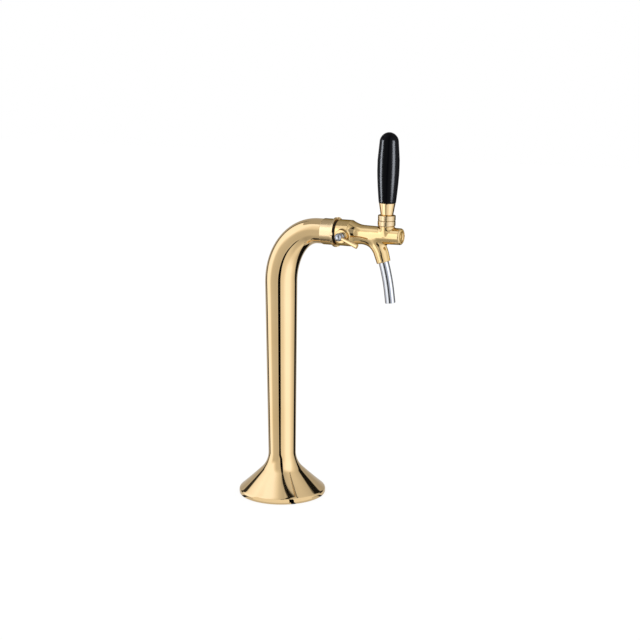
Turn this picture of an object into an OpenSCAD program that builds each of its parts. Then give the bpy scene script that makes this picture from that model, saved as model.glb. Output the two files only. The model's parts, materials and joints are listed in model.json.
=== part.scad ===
// Draft beer tower: a cast column on a round foot with a gooseneck, carrying a tap with flow control.
// Millimetres. Z is up, the tap points along +X, the origin is the middle of the foot's underside.

/* [Foot and column] */
// Diameter of the foot on the counter
foot_d = 110; // [96:1:130]
// Height of the lip's widest part
foot_lip = 3.8; // [3:0.1:6]
// Rounding of the lip's top edge
foot_round = 4.2; // [3:0.1:5]
// Rounding of the lip's bottom edge
foot_under = 1.5; // [1:0.1:2]
// Slope of the foot's cone above the counter, in degrees
foot_slope = 42.5; // [38:0.5:50]
// Radius of the curve that carries the cone into the column
foot_blend = 30; // [26:1:40]
// Column diameter just above the foot
stem_d_low = 34.8; // [32:0.2:40]
// Column diameter where the gooseneck starts
stem_d_high = 40.2; // [36:0.2:44]
// Wall of the hollow casting
wall = 3.5; // [3:0.25:5]
// Length of the foot's straight socket for the column
foot_collar = 12; // [8:1:20]
// Width of the foot's rim on the counter
rim_w = 7.5; // [6:0.5:10]
// Height of the tap's axis above the counter
axis_z = 341; // [300:1:420]

/* [Foot fixings] */
// Circle through the stud holes
stud_pcd = 72; // [64:1:76]
// Number of stud holes
stud_count = 3; // [3:1:4]
// Tapping hole of an M8 stud
stud_hole_d = 6.8; // [5:0.1:8.5]
// Depth of the stud holes
stud_depth = 14; // [10:1:16]
// Diameter of the cast bosses around the stud holes
boss_d = 15; // [13:0.5:18]
// Width of the gasket under the rim
gasket_w = 3; // [2:0.5:4]
// Depth of the gasket's groove
gasket_h = 2; // [1:0.5:3]

/* [Gooseneck] */
// Forward reach of the bend
bend_reach = 52; // [44:1:54]
// Rise of the bend
bend_rise = 68; // [52:1:80]
// Outside diameter at the end of the gooseneck
neck_d = 30.8; // [29:0.2:34]
// Where the gooseneck ends, along X
neck_x = 60.3; // [58:0.5:72]

/* [Neck fittings] */
// Diameter of the neck bush's visible sleeve
sleeve_d = 32; // [30:0.5:36]
// Length of the visible sleeve
sleeve_l = 15.2; // [12:0.2:20]
// Outside diameter of the lock ring
lock_d = 36.6; // [34:0.2:42]
// Thickness of the lock ring
lock_l = 3; // [2:0.25:5]
// Outside diameter of the black washer behind the tap
washer_d = 29; // [26:0.5:31]
// Thickness of the black washer
washer_l = 2; // [1:0.25:3]
// Thread diameter of the tap's shank, G 5/8
shank_d = 22.9; // [20:0.1:24]
// Outside diameter of the beer line
line_d = 10; // [8:0.5:12]
// Outside diameter of the beer line's lower end, for a push-in coupling
stub_d = 8; // [6:0.5:9]
// Length of the beer line's lower end
stub_l = 22; // [15:1:30]

/* [Tap] */
// Diameter of the tap's rear end
rear_d = 32; // [30:0.5:35]
// Length of the tap's rear end
rear_l = 16.5; // [16:0.5:24]
// Length of the hollow taper in front of it
taper_l = 16; // [12:0.5:20]
// Barrel diameter where the taper ends
barrel_d = 22; // [20:0.2:24]
// Barrel diameter at the front
front_d = 19.8; // [18.6:0.2:22]
// Length of the whole tap body
body_l = 82.5; // [80:0.5:92]
// Distance from the tap's front face back to the handle
handle_back = 20.3; // [19:0.1:24]
// Bore for the plunger
bore_d = 12; // [11:0.2:12.6]

/* [Spout] */
// Outside diameter of the spout tube
spout_d = 12.5; // [11:0.1:13]
// Wall of the spout tube
spout_wall = 1; // [0.8:0.1:1.5]
// Lean of the spout socket from the upright, in degrees
spout_lean = 16.5; // [12:0.5:22]
// Lean of the spout's outlet from the upright, in degrees
outlet_lean = 7; // [2:0.5:10]
// Radius of the spout's curve
spout_curve = 230; // [160:5:320]
// Length of the straight outlet
outlet_l = 11.7; // [8:0.1:20]
// Diameter of the spout socket
socket_d = 16.8; // [16:0.2:18]
// Distance from the tap's front face back to the socket's end
socket_back = 23.6; // [22:0.1:27]
// Drop of the socket's end below the tap's axis
socket_drop = 32.4; // [28:0.1:36]
// Radius of the curved branch above the socket
branch_curve = 29; // [28:0.5:31]
// Thickness of the curved branch
branch_d = 18; // [16.8:0.2:19]

/* [Handle] */
// Height of the handle's ball above the tap's axis
pivot_rise = 10.6; // [10.2:0.1:12]
// Lean of the closed handle towards the front, in degrees
handle_lean = 1.4; // [0:0.1:3]
// How far the handle tilts forward, in degrees
tilt_max = 20; // [12:1:20]
// Diameter of the handle's ball
ball_d = 10; // [9.6:0.1:10.4]
// Diameter of the lower ring, the bonnet nut
bonnet_d = 21.4; // [20:0.2:23]
// Height of the bonnet nut's top edge above the ball's centre
bonnet_top = 7; // [6.8:0.1:8]
// Diameter of the upper ring, the handle's collar
collar_d = 21.2; // [20:0.2:23]
// Height of the collar's top above the ball's centre
collar_top = 14.2; // [14:0.1:16]
// Height of the gold ferrule
ferrule_h = 14.7; // [10:0.1:18]
// Ferrule diameter at its foot
ferrule_d_low = 15; // [12:0.2:16]
// Ferrule diameter under the grip
ferrule_d_high = 19.6; // [16:0.2:20]
// Length of the black grip
grip_l = 83.8; // [70:0.1:110]
// Grip diameter at its foot
grip_d_low = 20.6; // [17:0.2:23]
// Largest diameter of the grip
grip_d = 26.4; // [22:0.2:30]
// Thread diameter of the handle's stem
stem_thread_d = 8; // [7:0.5:9]

/* [Flow control] */
// Distance of the side spindle in front of the tap's rear face
spindle_at = 11.2; // [10.8:0.2:12]
// Drop of the side spindle below the tap's axis
spindle_drop = 1.9; // [1:0.1:2.5]
// Diameter of the side spindle
spindle_d = 9; // [8.4:0.1:9.4]
// Offset of the spindle's pin
pin_offset = 2.6; // [2:0.1:2.8]
// Diameter of the gland nut
gland_d = 16.4; // [15:0.2:18]
// Diameter of the spindle's ball head
knob_d = 10; // [9.4:0.2:12]
// Reach of the flow lever from the spindle's axis
lever_l = 26.5; // [22:0.5:34]
// Droop of the flow lever below the horizontal, in degrees
lever_droop = 21.4; // [0:1:45]
// Lever diameter beside the knob
lever_d_low = 3.8; // [3:0.2:5]
// Lever diameter at its tip
lever_d_high = 6; // [4:0.2:8]

/* [Fits] */
// Clearance of a moving curved face from a fixed one
free_gap = 0.3; // [0.3:0.05:0.4]
// Radial clearance of a shaft in its bore
shaft_gap = 0.06; // [0.03:0.01:0.09]
// Radial clearance of threads and fixed fits
fit_gap = 0.1; // [0.05:0.01:0.15]

/* [Hidden] */
$fn = 96;
lap = 1;
lap_step = 0.05;
foot_r = foot_d / 2;
stem_r_low = stem_d_low / 2;
stem_r_high = stem_d_high / 2;
bend_z = axis_z - bend_rise;
turn = 90 - foot_slope;
blend_x = stem_r_low + foot_blend;
lip_end = [foot_r - foot_round + foot_round * cos(turn), foot_lip + foot_round * sin(turn)];
cone_run = (lip_end[0] - blend_x + foot_blend * cos(turn)) / cos(foot_slope);
blend_z = lip_end[1] + cone_run * sin(foot_slope) + foot_blend * sin(turn);
foot_top = blend_z + foot_collar;
rim_r = foot_r - rim_w;
groove_r = rim_r + (rim_w - foot_under) / 2;
seal_gap = fit_gap / 2;

neck_r = neck_d / 2;
plug_r = neck_r - wall - 2 * fit_gap;
plug_l = neck_x - bend_reach - 3;
lock_x = neck_x + sleeve_l;
washer_x = lock_x + lock_l;
body_x = washer_x + washer_l;
shank_r = shank_d / 2;
inlet_x = neck_x + 1.5;
inlet_l = 1.5;
shank_x = inlet_x + inlet_l;
shank_depth = 6;
shank_end = body_x + shank_depth;
throat_low = 5.6;
throat_high = 9;
line_r = line_d / 2;
line_bore = line_r - 1;
line_foot = 3;
line_end = neck_x - 1.5;

rear_r = rear_d / 2;
barrel_r = barrel_d / 2;
front_r = front_d / 2;
bore_r = bore_d / 2;
front_x = body_x + body_l;
handle_x = front_x - handle_back;
chamber_r = 10.4;
chamber_taper = 5;
seat_back = 25;
seat_x = handle_x - seat_back;
seat_l = 3;
seat_r = 4.4;
valve_bore = bore_r + 0.7;

spout_r = spout_d / 2;
socket_end = [front_x - socket_back, axis_z - socket_drop];
spout_dir = [sin(spout_lean), -cos(spout_lean)];
socket_l = 10;
socket_depth = 13;
branch_end = socket_end - socket_l * spout_dir;
branch_mid = branch_end - branch_curve * [cos(spout_lean), sin(spout_lean)];
socket_top = socket_end - socket_depth * spout_dir;
port_back = 16.5;
port_depth = 3;
port = [handle_x - port_back, axis_z - bore_r + port_depth];
port_r = 4;
curve_mid = socket_end - spout_curve * [cos(spout_lean), sin(spout_lean)];
outlet_start = curve_mid + spout_curve * [cos(outlet_lean), sin(outlet_lean)];
spout_ring_at = 4;
spout_ring_w = 2;
spout_ring_r = spout_r + 1;

pivot_z = axis_z + pivot_rise;
ball_r = ball_d / 2;
cup_r = ball_r + free_gap / 2;
bonnet_r = bonnet_d / 2;
collar_r = collar_d / 2;
dome_r = norm([bonnet_r, bonnet_top]);
hollow_r = dome_r + free_gap;
stem_r = 2.4;
arm_r = 2.1;
tip_r = 2.6;
neck_thread_r = bonnet_r - 1.9;
neck_top = 5;
neck_bore = 6.9;
seat_low = -3.6;
bonnet_low = 1.4;
edge = 0.8;
tilt_room = tilt_max + handle_lean;
cup_open = asin(stem_r / ball_r) + tilt_room + 4;
dome_open = asin(stem_r / dome_r) + tilt_room + 2;
ceiling = dome_r * cos(dome_open - tilt_room) + free_gap;
arm_open = asin(arm_r / ball_r) + tilt_max + 4;
thread_r = stem_thread_d / 2;
grip_low = collar_top + ferrule_h;
insert_l = 18;
insert_r = thread_r + 1.5;
stem_top = grip_low + 15;

guide_back = 7.6;
guide_front = 12;
guide_x = handle_x - guide_back;
guide_end = handle_x + guide_front;
slot_gap = 0.4;
ball_dip = sqrt(max(0, ball_r * ball_r - pow(pivot_rise - bore_r, 2)));
slot_w = 2 * (max(tip_r, ball_dip) + slot_gap);
slot_floor = 2;
slot_step = 1.6;
slot_reach = 3.4;
ring_set = 1.8;
ring_at = guide_x + ring_set;
ring_w = 1.8;
ring_depth = 1.5;
plug_depth = 7;
plug_x = front_x - plug_depth;
plug_wall = 1.1;
plug_thread = bore_r + plug_wall;
shaft_r = 2.4;
disc_r = seat_r + 1.8;
disc_l = 3;
nut_r = 4.2;
nut_l = 3.5;

spindle_r = spindle_d / 2;
spindle_x = body_x + spindle_at;
spindle_z = axis_z - spindle_drop;
pin_r = 1.8;
gland_r = gland_d / 2;
gland_thread = spindle_r + 1.8;
side_y = rear_r + 1.5;
gland_h = 3;
packing_y = 12;
flange_h = 1;
packing_h = 1.7;
knob_r = knob_d / 2;
knob_y = side_y + gland_h + knob_r + 0.5;
cone_stem_r = 5.5;
cone_x = shank_x + 2;
flow_swing = 45;
flow_travel = pin_offset * sin(flow_swing) + 0.1;
cone_mid = spindle_x - spindle_r - flow_travel - 2 * free_gap;
cone_flange = 1.5;
cone_end = spindle_x + spindle_r + flow_travel + free_gap + cone_flange;
chamber_end = cone_end + flow_travel + 2 * free_gap;
guide_r = chamber_r - free_gap;

gold = [0.86, 0.68, 0.36];
steel = [0.75, 0.76, 0.78];
black = [0.06, 0.06, 0.07];
nylon = [0.9, 0.9, 0.86];

// Points on an arc in the drawing plane
function arc(c, r, a0, a1, n) = [for (i = [0:n])
    let (a = a0 + (a1 - a0) * i / n) c + r * [cos(a), sin(a)]];

// The foot's cone and its curve into the column, moved inwards by d
function flare(d) = arc([blend_x, blend_z], foot_blend + d, 180 + turn, 180, 14);

// Radius of the column's outside at height z
function column_r(z) = stem_r_low + (stem_r_high - stem_r_low) * (z - blend_z) / (bend_z - blend_z);

// Height of the cone moved inwards by d, at radius r
function cone_z(r, d) = flare(d)[0][1] - (r - flare(d)[0][0]) * tan(foot_slope);

// Parts lying along the tap's axis, from the given X
module along_x(x) {
    translate([x, 0, axis_z])
        rotate([0, 90, 0])
            children();
}

// Parts standing on the handle's axis, from the given height
module on_handle(z) {
    translate([handle_x, 0, z])
        children();
}

// Parts of the leaning handle, from the given height above the ball's centre
module on_lever(h) {
    translate([handle_x, 0, pivot_z])
        rotate([0, handle_lean, 0])
            translate([0, 0, h])
                children();
}

// Parts lying along the side spindle; their Z runs out of the tap's near side
module on_spindle() {
    translate([spindle_x, 0, spindle_z])
        rotate([90, 0, 0])
            children();
}

// Parts along the spout socket, from the socket's end back up into the tap
module on_socket() {
    translate([socket_end[0], 0, socket_end[1]])
        rotate([0, -spout_lean, 0])
            children();
}

module lathe(points) {
    rotate_extrude()
        polygon(points);
}

module ring(outer, inner, h) {
    difference() {
        cylinder(r = outer, h = h);
        translate([0, 0, -1])
            cylinder(r = inner, h = h + 2);
    }
}

// Part of a pipe bend in the upright plane, between two angles above +X
module bend(mid, radius, outer, inner, from, to) {
    translate([mid[0], 0, mid[1]])
        rotate([90, 0, 0])
            rotate([0, 0, from])
                rotate_extrude(angle = to - from)
                    translate([radius, 0])
                        difference() {
                            circle(r = outer);
                            if (inner > 0)
                                circle(r = inner);
                        }
}

// Gooseneck stations: X, Z, lean of the path from the upright, radius
function ease(s) = s * s * (3 - 2 * s);
function station(t) = [
    bend_reach * (1 - cos(t)),
    bend_z + bend_rise * sin(t),
    atan2(bend_reach * sin(t), bend_rise * cos(t)),
    stem_r_high + (neck_r - stem_r_high) * ease(pow(t / 90, 1.3))];
bend_steps = 18;
spigot_l = 8;
spigot_wall = 2;
spigot_r = column_r(bend_z - spigot_l) - wall - fit_gap;
bend_sides = 48;
stations = concat(
    [for (i = [0:bend_steps]) station(90 * i / bend_steps)],
    [[neck_x, axis_z, 90, neck_r]]);
function hoop(s, r) = [for (k = [0:bend_sides - 1])
    let (a = 360 * k / bend_sides)
    [s[0] + r * cos(a) * cos(s[2]), r * sin(a), s[1] - r * cos(a) * sin(s[2])]];

// The gooseneck is a skin and a lining of hoops; its lower end steps in to a spigot for the column
module tower_gooseneck() {
    foot_end = [0, bend_z - spigot_l, 0];
    outside = concat(
        hoop(foot_end, spigot_r), hoop(stations[0], spigot_r),
        [for (s = stations) each hoop(s, s[3])]);
    inside = concat(
        hoop(foot_end, spigot_r - spigot_wall), hoop(stations[0], spigot_r - spigot_wall),
        [for (i = [0:len(stations) - 1]) each hoop(stations[i], i == 0 ? spigot_r - spigot_wall + lap_step
            : stations[i][3] - wall)]);
    n = bend_sides;
    m = len(stations) + 2;
    o = m * n;
    e = o - n;
    function nxt(k) = (k + 1) % n;
    skin = [for (i = [0:m - 2], k = [0:n - 1])
        each [[i * n + k, (i + 1) * n + k, (i + 1) * n + nxt(k)],
            [i * n + k, (i + 1) * n + nxt(k), i * n + nxt(k)]]];
    lining = [for (f = skin) [f[0] + o, f[2] + o, f[1] + o]];
    ends = [for (k = [0:n - 1])
        each [[k, nxt(k), o + nxt(k)], [k, o + nxt(k), o + k],
            [e + nxt(k), e + k, o + e + k], [e + nxt(k), o + e + k, o + e + nxt(k)]]];
    color(gold)
        polyhedron(points = concat(outside, inside), faces = concat(skin, lining, ends), convexity = 6);
}

// The column stands in the foot's collar on a spigot of its own
module tower_column() {
    low_r = stem_r_low - wall - fit_gap;
    color(gold)
        lathe([[low_r - spigot_wall, blend_z], [low_r, blend_z], [low_r, foot_top],
            [column_r(foot_top), foot_top], [stem_r_high, bend_z], [stem_r_high - wall, bend_z],
            [column_r(foot_top + spigot_wall) - wall, foot_top + spigot_wall],
            [low_r - spigot_wall, foot_top]]);
}

module foot_shell() {
    lathe(concat(
        arc([foot_r - foot_under, foot_under], foot_under, -90, 0, 4),
        arc([foot_r - foot_round, foot_lip], foot_round, 0, turn, 6),
        flare(0),
        [[column_r(foot_top), foot_top], [stem_r_low - wall, foot_top]],
        [for (i = [14:-1:0]) flare(wall)[i]],
        [[rim_r, cone_z(rim_r, wall)], [rim_r, 0]],
        [[groove_r - gasket_w / 2 - seal_gap, 0], [groove_r - gasket_w / 2 - seal_gap, gasket_h],
            [groove_r + gasket_w / 2 + seal_gap, gasket_h], [groove_r + gasket_w / 2 + seal_gap, 0]]));
}

module stud_places() {
    for (i = [0:stud_count - 1])
        rotate([0, 0, 180 + i * 360 / stud_count])
            translate([stud_pcd / 2, 0, 0])
                children();
}

module stud_bosses() {
    intersection() {
        stud_places()
            cylinder(d = boss_d, h = blend_z);
        lathe(concat([[0, 0], [rim_r + 1, 0], [rim_r + 1, cone_z(rim_r + 1, wall / 2)]],
            flare(wall / 2), [[0, blend_z]]));
    }
}

module tower_foot() {
    color(gold)
        difference() {
            union() {
                foot_shell();
                stud_bosses();
            }
            stud_places()
                translate([0, 0, -1])
                    cylinder(d = stud_hole_d, h = stud_depth + 1);
        }
}

module foot_gasket() {
    color(black)
        ring(groove_r + gasket_w / 2, groove_r - gasket_w / 2, gasket_h);
}

module beer_line() {
    rise = axis_z - bend_reach;
    color(steel) {
        translate([0, 0, line_foot])
            ring(stub_d / 2, stub_d / 2 - 1, stub_l);
        translate([0, 0, line_foot + stub_l])
            ring(line_r, stub_d / 2 - 1, 2);
        translate([0, 0, line_foot + stub_l + 2])
            ring(line_r, line_bore, rise - line_foot - stub_l - 2);
        bend([bend_reach, rise], bend_reach, line_r, line_bore, 90, 180);
        along_x(bend_reach)
            ring(line_r, line_bore, line_end - bend_reach);
    }
}

module neck_bush() {
    color(gold)
        along_x(0)
            difference() {
                lathe([[0, neck_x - plug_l], [plug_r - 0.5, neck_x - plug_l],
                    [plug_r, neck_x - plug_l + 0.5],
                    [plug_r, neck_x], [sleeve_d / 2 - 0.4, neck_x], [sleeve_d / 2, neck_x + 0.4],
                    [sleeve_d / 2, lock_x], [0, lock_x]]);
                translate([0, 0, neck_x - plug_l - 1])
                    cylinder(r = line_r + seal_gap, h = line_end - neck_x + plug_l + 1);
                translate([0, 0, line_end - 1])
                    cylinder(r = line_bore, h = inlet_x - line_end + 2);
                translate([0, 0, inlet_x])
                    cylinder(r = shank_r + fit_gap, h = sleeve_l);
            }
}

module lock_ring() {
    color(gold)
        along_x(lock_x)
            difference() {
                lathe([[shank_r + fit_gap, 0], [lock_d / 2 - 0.5, 0], [lock_d / 2, 0.5],
                    [lock_d / 2, lock_l - 0.5], [lock_d / 2 - 0.5, lock_l], [shank_r + fit_gap, lock_l]]);
                for (a = [0:90:270])
                    rotate([0, 0, a])
                        translate([lock_d / 2 - 1.8, -1.8, -1])
                            cube([5, 3.6, lock_l + 2]);
            }
}

module shank_washer() {
    color(black)
        along_x(washer_x)
            ring(washer_d / 2, shank_r + fit_gap, washer_l);
}

module inlet_washer() {
    color(black)
        along_x(inlet_x)
            ring(shank_r - 0.2, line_bore + 0.5, inlet_l);
}

module tap_shank() {
    length = shank_end - shank_x;
    color(gold)
        along_x(shank_x)
            lathe([[throat_low, 0], [shank_r - 0.6, 0], [shank_r, 0.6], [shank_r, length],
                [throat_high, length]]);
}

// Outside of the tap body along its axis, from the rear face to the front
function taper(s) = barrel_r + (rear_r - barrel_r) * pow(1 - s, 1.7);
body_profile = concat(
    [[0, 0], [rear_r - 1, 0], [rear_r, 1]],
    [for (i = [0:12]) [taper(i / 12), rear_l + taper_l * i / 12]],
    arc([front_r - 1.4, body_l - 1.4], 1.4, 0, 90, 6),
    [[0, body_l]]);

module body_outside() {
    along_x(body_x)
        lathe(body_profile);
    bend(branch_mid, branch_curve, branch_d / 2, 0, spout_lean, 90);
    on_socket()
        lathe([[0, 0], [socket_d / 2 - 0.6, 0], [socket_d / 2, 0.6], [socket_d / 2, 3],
            [branch_d / 2 - lap_step, socket_l], [branch_d / 2 - lap_step, socket_l + lap],
            [0, socket_l + lap]]);
    on_handle(axis_z)
        lathe([[0, 0], [front_r - 0.3, 0], [front_r - 0.3, pivot_rise + bonnet_low - edge],
            [neck_thread_r, pivot_rise + bonnet_low - fit_gap], [neck_thread_r, pivot_rise + neck_top],
            [0, pivot_rise + neck_top]]);
    on_spindle()
        translate([0, 0, chamber_r])
            cylinder(r = gland_r, h = side_y - chamber_r);
}

module body_inside() {
    along_x(body_x)
        lathe([[0, -1], [shank_r + fit_gap, -1], [shank_r + fit_gap, shank_depth], [chamber_r, shank_depth],
            [chamber_r, chamber_end - body_x], [valve_bore, chamber_end - body_x + chamber_taper],
            [valve_bore, seat_x - body_x], [seat_r, seat_x - body_x], [seat_r, seat_x - body_x + seat_l],
            [bore_r, seat_x - body_x + seat_l], [bore_r, plug_x - body_x], [plug_thread, plug_x - body_x],
            [plug_thread, body_l + 1], [0, body_l + 1]]);
    lean = atan2(port[0] - socket_top[0], port[1] - socket_top[1]);
    translate([socket_top[0], 0, socket_top[1]])
        rotate([0, lean, 0])
            translate([0, 0, -1])
                cylinder(r = port_r, h = norm(port - socket_top) + 1);
    on_socket() {
        translate([0, 0, -1])
            cylinder(r = spout_r + seal_gap, h = socket_depth + 1);
        translate([0, 0, spout_ring_at])
            cylinder(r = spout_ring_r + seal_gap, h = spout_ring_w);
    }
    on_handle(axis_z)
        cylinder(r = neck_bore - 0.8, h = pivot_rise);
    on_handle(pivot_z + seat_low)
        cylinder(r = neck_bore, h = neck_top - seat_low + 1);
    on_spindle() {
        translate([0, 0, cone_stem_r])
            cylinder(r = spindle_r + shaft_gap, h = side_y);
        translate([0, 0, packing_y])
            cylinder(r = gland_thread + fit_gap, h = side_y);
    }
}

module tap_body() {
    color(gold)
        difference() {
            body_outside();
            body_inside();
        }
}

module flow_cone() {
    slot_w = 2 * (pin_r + free_gap);
    slot_top = spindle_z - axis_z + pin_offset + pin_r + free_gap;
    slot_low = spindle_z - axis_z + pin_offset * cos(flow_swing) - pin_r - free_gap;
    color(nylon)
        difference() {
            union() {
                along_x(0)
                    lathe([[0, cone_x], [throat_low - 1, cone_x], [throat_high - 1.4, cone_mid],
                        [cone_stem_r, cone_mid], [cone_stem_r, cone_end], [0, cone_end]]);
                intersection() {
                    along_x(cone_end - cone_flange)
                        cylinder(r = guide_r, h = cone_flange);
                    translate([cone_end - 2 * cone_flange, -guide_r * 0.75, axis_z - guide_r * 0.75])
                        cube([3 * cone_flange, guide_r * 1.5, guide_r * 1.5]);
                }
            }
            translate([spindle_x - slot_w / 2, -chamber_r, axis_z + slot_low])
                cube([slot_w, 2 * chamber_r, slot_top - slot_low]);
        }
}

module flow_spindle() {
    color(steel)
        on_spindle() {
            difference() {
                union() {
                    lathe([[0, cone_stem_r + 0.7], [spindle_r, cone_stem_r + 0.7],
                        [spindle_r, packing_y + 0.1],
                        [gland_thread - 0.1, packing_y + 0.1], [gland_thread - 0.1, packing_y + flange_h],
                        [spindle_r, packing_y + flange_h], [spindle_r, side_y + gland_h + 0.4],
                        [spindle_r - 1, side_y + gland_h + 1], [0, side_y + gland_h + 1]]);
                    translate([0, 0, knob_y])
                        sphere(r = knob_r);
                }
                lever_hole();
            }
            translate([0, pin_offset, 1 - cone_stem_r])
                cylinder(r = pin_r, h = 2 * cone_stem_r);
        }
}

// The lever's tapped hole in the knob
module lever_hole() {
    translate([0, 0, knob_y])
        rotate([0, 90, -lever_droop])
            translate([0, 0, 1])
                cylinder(d = lever_d_low, h = knob_d);
}

module flow_lever() {
    color(gold)
        on_spindle()
            translate([0, 0, knob_y])
                rotate([0, 90, -lever_droop])
                    lathe([[0, 1], [lever_d_low / 2, 1], [lever_d_low / 2, knob_r + 0.5],
                        [lever_d_high / 2, lever_l - 0.5], [lever_d_high / 2 - 0.5, lever_l],
                        [0, lever_l]]);
}

module spindle_seal() {
    color(black)
        on_spindle()
            translate([0, 0, packing_y + flange_h + 0.1])
                ring(gland_thread, spindle_r + shaft_gap, packing_h);
}

module gland_nut() {
    thread_z = packing_y + flange_h + packing_h + 0.1;
    color(gold)
        on_spindle()
            lathe([[spindle_r + shaft_gap, thread_z], [gland_thread, thread_z], [gland_thread, side_y],
                [gland_r, side_y], [gland_r, side_y + gland_h - 1], [gland_r - 1, side_y + gland_h],
                [spindle_r + shaft_gap, side_y + gland_h]]);
}

module valve_plunger() {
    color(steel)
        difference() {
            along_x(0)
                lathe([[0, seat_x - disc_l - nut_l], [shaft_r, seat_x - disc_l - nut_l], [shaft_r, guide_x],
                    [bore_r - shaft_gap, guide_x], [bore_r - shaft_gap, ring_at],
                    [bore_r - ring_depth, ring_at],
                    [bore_r - ring_depth, ring_at + ring_w], [bore_r - shaft_gap, ring_at + ring_w],
                    [bore_r - shaft_gap, guide_end], [0, guide_end]]);
            translate([handle_x - slot_w / 2, -slot_w / 2, axis_z - tip_r - slot_floor])
                cube([slot_w, slot_w, 2 * bore_r]);
            translate([handle_x - slot_w / 2, -slot_w / 2, axis_z + slot_step])
                cube([slot_w + slot_reach, slot_w, 2 * bore_r]);
        }
}

module valve_seal() {
    color(black)
        along_x(seat_x - disc_l)
            ring(disc_r, shaft_r + seal_gap, disc_l);
}

module seal_nut() {
    color(steel)
        along_x(seat_x - disc_l - nut_l)
            ring(nut_r, shaft_r + seal_gap, nut_l);
}

module plunger_ring() {
    color(black)
        along_x(ring_at + seal_gap)
            ring(bore_r - shaft_gap / 2, bore_r - ring_depth + seal_gap, ring_w - 2 * seal_gap);
}

module ball_seat() {
    color(nylon)
        on_handle(pivot_z)
            lathe(concat(
                [[neck_bore - fit_gap, -fit_gap], [neck_bore - fit_gap, seat_low],
                    [ball_r - edge, seat_low]],
                arc([0, 0], cup_r, arm_open - 90, asin(-fit_gap / cup_r), 8)));
}

// Room for the tilted stem at height h above the ball's centre
function stem_room(h) = h * tan(tilt_room) + stem_r / cos(tilt_room) + 2 * free_gap;

module friction_ring() {
    color(nylon)
        on_handle(pivot_z)
            lathe(concat(
                arc([0, 0], cup_r, asin(fit_gap / cup_r), 90 - cup_open, 8),
                [[stem_room(neck_top), neck_top], [neck_bore - fit_gap, neck_top],
                    [neck_bore - fit_gap, fit_gap]]));
}

// The bonnet nut's top and the collar's underside lie on spheres about the ball's centre
module bonnet_nut() {
    color(gold)
        on_handle(pivot_z)
            lathe(concat(
                [[neck_thread_r + fit_gap, bonnet_low], [bonnet_r - edge, bonnet_low],
                    [bonnet_r, bonnet_low + edge], [bonnet_r, bonnet_top - free_gap]],
                arc([0, 0], dome_r, acos((bonnet_r - free_gap) / dome_r), 90 - dome_open, 10),
                [[stem_room(neck_top), neck_top + fit_gap],
                    [neck_thread_r + fit_gap, neck_top + fit_gap]]));
}

// The arm below the ball stands upright in the plunger's slot, the stem leans
module handle_lever() {
    color(steel) {
        on_handle(pivot_z) {
            sphere(r = ball_r);
            lathe(concat(
                arc([0, -pivot_rise], tip_r, -90, 90 - asin(arm_r / tip_r), 10),
                [[arm_r, -1], [0, -1]]));
        }
        on_lever(0)
            lathe([[0, 1], [stem_r, 1], [stem_r, ceiling + 0.1], [thread_r, ceiling + 0.1],
                [thread_r, stem_top - 0.8], [thread_r - 0.8, stem_top], [0, stem_top]]);
    }
}

module handle_collar() {
    hollow_end = acos(ceiling / hollow_r);
    rim = sqrt(hollow_r * hollow_r - pow(collar_r - free_gap, 2));
    color(gold)
        on_lever(0)
            lathe(concat(
                [[thread_r + fit_gap, collar_top], [thread_r + fit_gap, ceiling]],
                arc([0, 0], hollow_r, 90 - hollow_end, asin(rim / hollow_r), 10),
                [[collar_r, rim + free_gap], [collar_r, collar_top - edge],
                    [collar_r - edge, collar_top]]));
}

module handle_ferrule() {
    color(gold)
        on_lever(collar_top)
            difference() {
                lathe([[0, 0], [ferrule_d_low / 2, 0], [ferrule_d_high / 2, ferrule_h - edge],
                    [ferrule_d_high / 2, ferrule_h], [0, ferrule_h]]);
                translate([0, 0, -1])
                    cylinder(r = thread_r + fit_gap, h = ferrule_h + 2);
            }
}

module handle_insert() {
    color(gold)
        on_lever(grip_low)
            ring(insert_r, thread_r + fit_gap, insert_l);
}

// Radius of the grip at a share s of its length
belly = 0.47;
function grip_side(s) = grip_d / 2 * (s < belly
    ? 1 - (1 - grip_d_low / grip_d) * pow(1 - s / belly, 1.5)
    : pow(1 - pow((s - belly) / (1 - belly), 2), 0.235));

module handle_grip() {
    color(black)
        on_lever(grip_low)
            difference() {
                lathe(concat([[0, 0]],
                    [for (i = [0:9]) let (s = belly * i / 9) [grip_side(s), grip_l * s]],
                    [for (i = [1:21]) let (s = belly + (1 - belly) * sin(90 * i / 22))
                        [grip_side(s), grip_l * s]],
                    [[0, grip_l]]));
                translate([0, 0, -1])
                    cylinder(r = insert_r + seal_gap, h = insert_l + 2);
            }
}

module front_plug() {
    color(gold)
        along_x(plug_x + 1)
            lathe([[0, 0], [plug_thread - fit_gap, 0], [plug_thread - fit_gap, 4.8],
                [plug_thread - 0.6, 5.4], [plug_thread - 1.6, 5.4], [plug_thread - 2.4, 4.4], [2.6, 4.4],
                [1.4, 5], [0, 5.2]]);
}

module plug_washer() {
    color(black)
        along_x(plug_x)
            ring(plug_thread - fit_gap, bore_r - ring_depth, 1);
}

module spout_core(r, over) {
    on_socket()
        translate([0, 0, -lap])
            cylinder(r = r - lap_step, h = socket_depth - 1 + lap + over);
    bend(curve_mid, spout_curve, r, 0, outlet_lean, spout_lean);
    translate([outlet_start[0], 0, outlet_start[1]])
        rotate([0, 180 - outlet_lean, 0])
            translate([0, 0, -lap])
                cylinder(r = r - lap_step, h = outlet_l + lap + over);
}

module spout_tube() {
    color(steel)
        difference() {
            spout_core(spout_r, 0);
            spout_core(spout_r - spout_wall, 1);
        }
}

module spout_ring() {
    color(black)
        on_socket()
            translate([0, 0, spout_ring_at])
                ring(spout_ring_r, spout_r + seal_gap / 2, spout_ring_w);
}

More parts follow.
